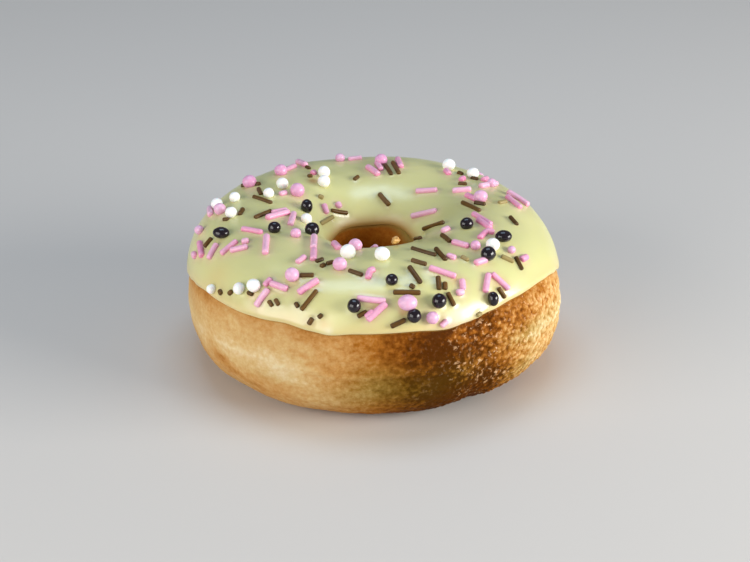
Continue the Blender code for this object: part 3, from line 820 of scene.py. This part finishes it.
def layRods(name, master, rows, radius, tree, draw):
    shape = vertexPlaces(master)
    straight = rod["longest"] / 2 - rod["pinkRadius"]
    placings, values, settled = [], [], []
    for row in rows:
        first, last = rodEnds(row, radius)
        middle, along = (first + last) / 2, last - first
        bearing, across = rodPlaces(row)[1]
        normal = Vector(skinNormal(bearing, angleAcross(bearing, across)))
        middle += normal * surfaceShift(tree, middle - normal * radius * rod["liftShare"], normal)
        width = radius / rod["pinkRadius"] * draw.uniform(*rod["uneven"])
        half = max(along.length / 2, rod["shortest"] / 2) - radius
        places = shape.copy()
        core = np.clip(places[:, 2], -straight, straight)
        caps = (places[:, 2] - core) * width
        places[:, :2] *= width
        share = core / straight
        places[:, 0] += rod["bow"] * draw.uniform(-1, 1) * (1 - share ** 2) * half / straight
        places[:, 2] = share * half + caps
        along.normalize()
        turn = turnTo(along, draw.uniform(0, 2 * math.pi))
        placings.append(places @ turn.T + np.array(middle))
        # painted light and shade: lighter on the rod's top, darker underneath
        paintedTopLight = np.clip((placings[-1] - np.array(middle)) @ np.array(normal) / radius, -1, 1)
        tone = draw.random() * sprinkleTone["spread"] + sprinkleTone["leastRod"]
        coated = sprinkleTone["coated"] if row in coatedRods else 0
        values.append(tone + sprinkleTone["paintedTopLight"] * paintedTopLight + coated)
        # places along its foot, about a millimetre apart
        steps = max(1, round(half / mm))
        for step in range(-steps, steps + 1):
            foot = middle + along * half * step / steps - normal * radius * rod["liftShare"]
            settled.append((foot, radius * footShare))
    return joinCopies(name, master, placings, values), settled


# Crumb of fried dough that lies on the rim of the hole
crumb = {
    "bearing": 287.5,
    "across": 8.4,
    "length": 2.8 * mm,
    "thickness": 1.6 * mm,
    "liftShare": 0.75,
    "lumpiness": 1.1,
    "lumpSize": 0.8,
    "turn": 48,
    "noise": (1300, 2, 0.5),
    "dark": (0.26, 0.09, 0.015),
    "light": (0.90, 0.55, 0.17),
    "roughness": 0.4,
}


def makeCrumb():
    deselectAll()
    bpy.ops.mesh.primitive_ico_sphere_add(subdivisions=4, radius=1)
    piece = bpy.context.object
    piece.name = piece.data.name = "crumb"
    displaceBy(piece, "crumbLumps", "CLOUDS", crumb["lumpSize"], crumb["lumpiness"])
    angle = angleAcross(crumb["bearing"], crumb["across"])
    normal = Vector(skinNormal(crumb["bearing"], angle))
    middle = Vector(skinPoint(crumb["bearing"], angle)) + normal * crumb["thickness"] * crumb["liftShare"]
    size = np.array((crumb["length"], crumb["thickness"], crumb["thickness"])) / 2
    turn = turnTo(normal, math.radians(crumb["turn"]))
    places = (vertexPlaces(piece) * size) @ turn.T + np.array(middle)
    piece.data.vertices.foreach_set("co", places.astype(np.float32).reshape(-1))
    piece.data.update()
    bpy.ops.object.shade_smooth()
    return piece


# Materials
def newMaterial(name):
    material = bpy.data.materials.new(name)
    material.use_nodes = True
    return material


def attributeFactor(material, name):
    node = material.node_tree.nodes.new("ShaderNodeAttribute")
    node.attribute_name = name
    return node.outputs["Fac"]


def mathNode(material, operation, first, second=None, clamp=False):
    nodes, links = material.node_tree.nodes, material.node_tree.links
    node = nodes.new("ShaderNodeMath")
    node.operation = operation
    node.use_clamp = clamp
    for place, value in enumerate((first, second)):
        if value is None:
            continue
        if isinstance(value, (int, float)):
            node.inputs[place].default_value = value
        else:
            links.new(value, node.inputs[place])
    return node.outputs[0]


def mixColour(material, factor, first, second, blend="MIX"):
    nodes, links = material.node_tree.nodes, material.node_tree.links
    node = nodes.new("ShaderNodeMix")
    node.data_type = "RGBA"
    node.blend_type = blend
    factorSocket, firstColour, secondColour = 0, 6, 7  # of a Mix node's inputs, those for colours
    for place, value in ((factorSocket, factor), (firstColour, first), (secondColour, second)):
        if isinstance(value, tuple):
            node.inputs[place].default_value = (*value, 1)
        else:
            links.new(value, node.inputs[place])
    mixed = 2
    return node.outputs[mixed]


def objectNoise(material, scale, detail, roughness, stretch=(1, 1, 1)):
    nodes, links = material.node_tree.nodes, material.node_tree.links
    place = nodes.new("ShaderNodeTexCoord")
    mapping = nodes.new("ShaderNodeMapping")
    mapping.inputs["Scale"].default_value = stretch
    links.new(place.outputs["Object"], mapping.inputs["Vector"])
    noise = nodes.new("ShaderNodeTexNoise")
    noise.inputs["Scale"].default_value = scale
    noise.inputs["Detail"].default_value = detail
    noise.inputs["Roughness"].default_value = roughness
    links.new(mapping.outputs["Vector"], noise.inputs["Vector"])
    return noise.outputs["Fac"]


def colourRamp(material, factor, stops):
    nodes, links = material.node_tree.nodes, material.node_tree.links
    ramp = nodes.new("ShaderNodeValToRGB")
    while len(ramp.color_ramp.elements) < len(stops):
        ramp.color_ramp.elements.new(0.5)
    for element, (place, colour) in zip(ramp.color_ramp.elements, stops):
        element.position = place
        element.color = (*colour, 1)
    links.new(factor, ramp.inputs["Fac"])
    return ramp.outputs["Color"]


def bumpFrom(material, rows):
    # bumps over one another: scale, detail and roughness of the noise, then strength and depth
    nodes, links = material.node_tree.nodes, material.node_tree.links
    normal = None
    for scale, detail, roughness, strength, depth in rows:
        node = nodes.new("ShaderNodeBump")
        node.inputs["Strength"].default_value = strength
        node.inputs["Distance"].default_value = depth
        links.new(objectNoise(material, scale, detail, roughness), node.inputs["Height"])
        if normal is not None:
            links.new(normal, node.inputs["Normal"])
        normal = node.outputs["Normal"]
    return normal


def dressShader(material, colour, sockets, bumps=()):
    links = material.node_tree.links
    shader = material.node_tree.nodes["Principled BSDF"]
    links.new(colour, shader.inputs["Base Color"])
    for name, value in sockets.items():
        shader.inputs[name].default_value = value
    if bumps:
        links.new(bumpFrom(material, bumps), shader.inputs["Normal"])
    return shader


crustLook = {
    "stops": (
        (0.00, (0.71, 0.575, 0.34)),
        (0.20, (0.605, 0.400, 0.170)),
        (0.40, (0.510, 0.262, 0.080)),
        (0.60, (0.345, 0.124, 0.0160)),
        (0.80, (0.178, 0.052, 0.0045)),
        (1.00, (0.074, 0.020, 0.0014))),
    "oliveStops": (
        (0.00, (0.68, 0.585, 0.37)),
        (0.20, (0.555, 0.425, 0.205)),
        (0.40, (0.405, 0.280, 0.096)),
        (0.60, (0.265, 0.156, 0.032)),
        (0.80, (0.145, 0.073, 0.0080)),
        (1.00, (0.066, 0.030, 0.0022))),
    # painted shade on the wall of the hole
    "paintedHoleShade": (1.0, 0.68, 0.25),
    # the film's colour is that of icing in shade, painted shade
    "shadedIcingFilm": (0.38, 0.27, 0.07),
    "glint": (0.85, 0.53, 0.27),
    "ridgeGlint": (0.95, 0.76, 0.52),
    # unevenness of the tone: scale, detail, roughness and stretch of the noise, then how much it counts on
    # smooth skin and how much rough skin adds
    "unevenness": (
        (95, 4, 0.6, (1, 1, 1), 0.18, 0.45),
        (260, 3, 0.6, (1, 1, 2.6), 0.24, 0.10),
        (900, 3, 0.7, (1, 1, 1), 0.30, 0.60)),
    # how much darker each of these is: painted shade in the crease, painted light on the blisters' tops and
    # painted shade in their pits; the ridge is paler
    "darker": {"blister": -0.26, "onRidge": -0.09, "crease": 0.10},
    # glints: scale, detail and roughness of the noise, where it starts and how sharply, and the same for the
    # clusters that they lie in
    "specks": (1000, 3, 0.6, 0.56, 6.0),
    "clusters": (240, 2, 0.5, 0.39, 5.0),
    # shares of the glints in clusters, anywhere and along the ridge, and how fast they go as skin gets smoother
    "glintShares": (0.65, 0.25, 0.5),
    "glintPower": 3,
    # the darkest skin has fewer: their share is the first number, less the second for each unit of frying
    "glintFade": (2.3, 1.7),
    "sockets": {
        "Roughness": 0.5,
        "Specular IOR Level": 0.02,
        "Subsurface Weight": 0.12,
        "Subsurface Radius": (1.0, 0.45, 0.2),
        "Subsurface Scale": 0.0012,
    },
    "bumps": ((420, 4, 0.6, 0.55, 0.0004), (1500, 4, 0.65, 0.5, 0.0002)),
}


def crustMaterial():
    material = newMaterial("doughCrust")
    rough = attributeFactor(material, "rough")
    frying = attributeFactor(material, "frying")
    onRidge = attributeFactor(material, "onRidge")

    def sharpened(scale, detail, roughness, start, sharpness):
        above = mathNode(material, "SUBTRACT", objectNoise(material, scale, detail, roughness), start)
        return mathNode(material, "MULTIPLY", above, sharpness, clamp=True)

    tone = frying
    for *noise, onSmooth, onRough in crustLook["unevenness"]:
        amount = mathNode(material, "ADD", onSmooth, mathNode(material, "MULTIPLY", rough, onRough))
        change = mathNode(material, "SUBTRACT", objectNoise(material, *noise), 0.5)
        tone = mathNode(material, "ADD", tone, mathNode(material, "MULTIPLY", change, amount))
    # painted shade in the crease, and painted light and shade on the blisters
    for name, amount in crustLook["darker"].items():
        change = mathNode(material, "MULTIPLY", attributeFactor(material, name), amount)
        tone = mathNode(material, "ADD", tone, change)
    tone = mathNode(material, "ADD", tone, 0.0, clamp=True)
    golden = colourRamp(material, tone, crustLook["stops"])
    olive = colourRamp(material, tone, crustLook["oliveStops"])
    colour = mixColour(material, attributeFactor(material, "olive"), golden, olive)
    # the wall of the hole is darkened with painted shade
    colour = mixColour(material, attributeFactor(material, "inHole"), colour, crustLook["paintedHoleShade"], "MULTIPLY")
    # the film of icing in shade on the wall of the hole, painted shade
    colour = mixColour(material, attributeFactor(material, "shadedIcingFilm"), colour, crustLook["shadedIcingFilm"])

    # small pale glints on the blistered side, most of them along the ridge
    inClusters, anywhere, alongRidge = crustLook["glintShares"]
    where = mathNode(material, "MULTIPLY", sharpened(*crustLook["clusters"]), inClusters)
    where = mathNode(material, "ADD", where, anywhere)
    where = mathNode(material, "ADD", where, mathNode(material, "MULTIPLY", onRidge, alongRidge), clamp=True)
    where = mathNode(material, "MULTIPLY", where, mathNode(material, "POWER", rough, crustLook["glintPower"]))
    most, fade = crustLook["glintFade"]
    fading = mathNode(material, "SUBTRACT", most, mathNode(material, "MULTIPLY", frying, fade), clamp=True)
    where = mathNode(material, "MULTIPLY", where, fading)
    glint = mixColour(material, onRidge, crustLook["glint"], crustLook["ridgeGlint"])
    specks = mathNode(material, "MULTIPLY", sharpened(*crustLook["specks"]), where)
    dressShader(material, mixColour(material, specks, colour, glint), crustLook["sockets"], crustLook["bumps"])
    return material


icingLook = {
    # the clouds of its shade: scale, detail and roughness of the noise
    "clouds": (70, 3, 0.5),
    "body": (0.655, 0.625, 0.285),
    "shade": (0.595, 0.585, 0.258),
    "lip": (0.690, 0.510, 0.230),
    # crust seen through thin icing in the hole, which also stands in for the shade there: painted shade
    "seenCrustAndShade": (0.46, 0.25, 0.045),
    "orangeStain": (0.64, 0.36, 0.12),
    "pinkStain": (0.70, 0.42, 0.40),
    "milkyStain": (0.80, 0.74, 0.62),
    # colour of the pale patches of painted light
    "paintedLightPatch": (0.78, 0.72, 0.34),
    # colour of the olive patches of painted shade
    "paintedShadePatch": (0.50, 0.45, 0.145),
    "pinkTrace": (0.67, 0.46, 0.36),
    "brownTrace": (0.35, 0.23, 0.11),
    # how far in from its lip it takes the lip's colour, in millimetres, and how much of each colour it takes
    "lipFade": 2.2,
    "shares": {"lip": 0.55, "pinkTrace": 0.30, "brownTrace": 0.16, "seenCrustAndShade": 0.92},
    "roughness": 0.28,
    # what is added where it is thin
    "thinRoughness": 0.4,
    "sockets": {
        "Specular IOR Level": 0.85,
        "Subsurface Weight": 0.25,
        "Subsurface Radius": (1.0, 0.9, 0.45),
        "Subsurface Scale": 0.0016,
    },
    "bumps": ((160, 2, 0.4, 0.18, 0.0006), (1400, 3, 0.6, 0.10, 0.00008)),
}


def icingMaterial():
    material = newMaterial("icingSugar")

    def blended(colour, factor, name):
        share = mathNode(material, "MULTIPLY", factor, icingLook["shares"][name])
        return mixColour(material, share, colour, icingLook[name])

    fromLip = mathNode(material, "DIVIDE", attributeFactor(material, "lipRun"), icingLook["lipFade"])
    squared = mathNode(material, "POWER", fromLip, 2)
    nearLip = mathNode(material, "EXPONENT", mathNode(material, "MULTIPLY", squared, -1))
    seeThroughAndShade = attributeFactor(material, "seeThroughAndShade")
    clouds = objectNoise(material, *icingLook["clouds"])
    colour = mixColour(material, clouds, icingLook["body"], icingLook["shade"])
    colour = blended(colour, nearLip, "lip")
    # stains, and the patches of painted light and painted shade
    for tintName in stainsAndPaintedLight:
        colour = mixColour(material, attributeFactor(material, tintName), colour, icingLook[tintName])
    for traceName in ("pinkTrace", "brownTrace"):
        colour = blended(colour, attributeFactor(material, traceName), traceName)
    colour = blended(colour, seeThroughAndShade, "seenCrustAndShade")
    shader = dressShader(material, colour, icingLook["sockets"], icingLook["bumps"])
    dull = mathNode(material, "MULTIPLY", seeThroughAndShade, icingLook["thinRoughness"])
    material.node_tree.links.new(
        mathNode(material, "ADD", dull, icingLook["roughness"]), shader.inputs["Roughness"])
    return material


sugarLooks = {
    "pearlsBlack": {
        "slot": "pearl_black", "dark": (0.005, 0.003, 0.006), "light": (0.016, 0.010, 0.014),
        "roughness": 0.13, "specular": 0.5, "grain": 0.08, "subsurface": 0.0},
    "pearlsWhite": {
        "slot": "pearl_white", "dark": (0.88, 0.87, 0.82), "light": (0.93, 0.93, 0.90),
        "roughness": 0.32, "specular": 0.5, "grain": 0.10, "subsurface": 0.30},
    "pearlsPink": {
        "slot": "pearl_pink", "dark": (0.66, 0.25, 0.46), "light": (0.79, 0.51, 0.67),
        "roughness": 0.32, "specular": 0.5, "grain": 0.12, "subsurface": 0.25},
    "rodsPink": {
        "slot": "rod_pink", "dark": (0.72, 0.16, 0.35), "light": (0.82, 0.54, 0.66),
        "roughness": 0.33, "specular": 0.5, "grain": 0.16, "subsurface": 0.15},
    "rodsBrown": {
        "slot": "rod_brown", "dark": (0.036, 0.015, 0.002), "light": (0.155, 0.074, 0.014),
        "coated": (0.32, 0.245, 0.095),
        "roughness": 0.38, "specular": 0.28, "grain": 0.25, "subsurface": 0.0},
}
# How much of the way from dark to light comes from a sprinkle's tone and from its specks
sugarBlend = {
    "noise": (1100, 3, 0.6),
    "tone": 0.7,
    "specks": 0.6,
    "speckStart": 0.35,
    "coatedStart": 1.5,
    "subsurfaceRadius": (1.0, 0.6, 0.5),
    "subsurfaceScale": 0.0008,
}


def sugarMaterial(name):
    # each sprinkle has its own tone between two colours, over a fine grain; the tone also holds painted light
    # on its top and painted shade underneath
    look = sugarLooks[name]
    material = newMaterial(name)
    tone = attributeFactor(material, "tone")
    noise = objectNoise(material, *sugarBlend["noise"])
    specks = mathNode(material, "SUBTRACT", noise, sugarBlend["speckStart"])
    specks = mathNode(material, "MULTIPLY", specks, sugarBlend["specks"])
    light = mathNode(material, "MULTIPLY", tone, sugarBlend["tone"])
    colour = mixColour(
        material, mathNode(material, "ADD", light, specks, clamp=True), look["dark"], look["light"])
    if "coated" in look:
        coated = mathNode(material, "SUBTRACT", tone, sugarBlend["coatedStart"], clamp=True)
        colour = mixColour(material, coated, colour, look["coated"])
    sockets = {
        "Roughness": look["roughness"],
        "Specular IOR Level": look["specular"],
        "Subsurface Weight": look["subsurface"],
        "Subsurface Radius": sugarBlend["subsurfaceRadius"],
        "Subsurface Scale": sugarBlend["subsurfaceScale"],
    }
    dressShader(material, colour, sockets, ((1700, 3, 0.6, look["grain"], 0.0001),))
    return material


def crumbMaterial():
    material = newMaterial("crumb")
    colour = mixColour(material, objectNoise(material, *crumb["noise"]), crumb["dark"], crumb["light"])
    dressShader(material, colour, {"Roughness": crumb["roughness"]})
    return material


def finishPiece(piece, material, slotName):
    piece.data.materials.clear()
    piece.data.materials.append(material)
    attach(piece, "root")


# Studio
camera = {
    "aim": (0.54 * mm, -0.89 * mm, 17.1 * mm),
    "distance": 0.6,
    "elevation": 26.1,
    "lens": 122.1,
    "sensor": 36,
    "nearest": 0.01,
}
lightTarget = (0, 0, 15 * mm)
# Each light's bearing, elevation and distance from its target
studio = {
    "overhead": {"from": (96, 79, 0.60), "size": (0.38, 0.23), "power": 1.24, "colour": (0.55, 0.75, 1.0)},
    "right": {"from": (340, 16, 0.60), "size": (0.42, 0.24), "power": 4.9, "colour": (1.0, 0.985, 0.95)},
    "left": {"from": (221, 20, 0.60), "size": (0.58, 0.36), "power": 2.95, "colour": (1.0, 0.98, 0.95)},
}
surround = {"colour": (0.90, 0.94, 1.0), "strength": 0.22}
paleFloor = {"colour": (0.62, 0.585, 0.545), "roughness": 0.7, "radius": 4.0}


def aimAt(item, place, target):
    item.location = place
    item.rotation_euler = (Vector(target) - Vector(place)).to_track_quat("-Z", "Y").to_euler()


def placeCamera():
    item = bpy.data.objects.new("camera", bpy.data.cameras.new("camera"))
    bpy.context.scene.collection.objects.link(item)
    tilt = math.radians(camera["elevation"])
    back = Vector((0, -math.cos(tilt), math.sin(tilt))) * camera["distance"]
    item.data.lens = camera["lens"]
    item.data.sensor_width = camera["sensor"]
    item.data.clip_start = camera["nearest"]
    aimAt(item, Vector(camera["aim"]) + back, camera["aim"])
    bpy.context.scene.camera = item


def lightStudio():
    for name, lamp in studio.items():
        data = bpy.data.lights.new(name, "AREA")
        data.shape = "RECTANGLE"
        data.size, data.size_y = lamp["size"]
        data.energy = lamp["power"]
        data.color = lamp["colour"]
        item = bpy.data.objects.new(name, data)
        bpy.context.scene.collection.objects.link(item)
        item.visible_camera = False
        bearing, elevation, distance = lamp["from"]
        turn, lift = math.radians(bearing), math.radians(elevation)
        spread = math.cos(lift) * distance
        place = (spread * math.cos(turn), spread * math.sin(turn), math.sin(lift) * distance)
        aimAt(item, place, lightTarget)
    world = bpy.data.worlds.new("studio")
    world.use_nodes = True
    background = world.node_tree.nodes["Background"]
    background.inputs["Color"].default_value = (*surround["colour"], 1)
    background.inputs["Strength"].default_value = surround["strength"]
    bpy.context.scene.world = world
    bpy.context.scene.view_settings.view_transform = "Standard"


def layFloor():
    deselectAll()
    bpy.ops.mesh.primitive_circle_add(vertices=64, radius=paleFloor["radius"], fill_type="NGON")
    floor = bpy.context.object
    floor.name = "floor"
    material = newMaterial("paleFloor")
    shader = material.node_tree.nodes["Principled BSDF"]
    shader.inputs["Base Color"].default_value = (*paleFloor["colour"], 1)
    shader.inputs["Roughness"].default_value = paleFloor["roughness"]
    floor.data.materials.append(material)
    floor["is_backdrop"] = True


placeCamera()
lightStudio()
layFloor()
print("studio is lit")

dough = makeDough()
finishPiece(dough, crustMaterial(), "dough")
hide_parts("dough")
print("dough is shaped")

icing = makeIcing()
icingTree = BVHTree.FromObject(icing, bpy.context.evaluated_depsgraph_get())
print("icing is poured")

plan = planSprinkles()
pearlMaster = modelPearl()
rodMaster = modelRod()
middles, reaches, pinkness, brownness = [], [], [], []
draw = random.Random(pearl["seed"])
for name, rows in plan.items():
    if name.startswith("pearls"):
        piece, settled = layPearls(name, pearlMaster, rows, icingTree, draw)
    else:
        radius = rod["pinkRadius"] if name == "rodsPink" else rod["brownRadius"]
        piece, settled = layRods(name, rodMaster, rows, radius, icingTree, draw)
    finishPiece(piece, sugarMaterial(name), sugarLooks[name]["slot"])
    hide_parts("icing")
    for middle, reach in settled:
        middles.append(middle)
        reaches.append(reach)
        pinkness.append(1.0 if "Pink" in name else 0.0)
        brownness.append(1.0 if name == "rodsBrown" else 0.0)
    print(name, len(rows), "laid")
bpy.data.objects.remove(pearlMaster)
bpy.data.objects.remove(rodMaster)

crumbPiece = makeCrumb()
finishPiece(crumbPiece, crumbMaterial(), "dough")
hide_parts("icing")
print("crumb is laid on the rim")

settleIcing(icing, middles, reaches, pinkness, brownness)
finishPiece(icing, icingMaterial(), "icing")
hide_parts("icing")
print("icing has settled round the sprinkles")

[[list(map(float, corner)) for corner in box] for box in (cadBox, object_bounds())]
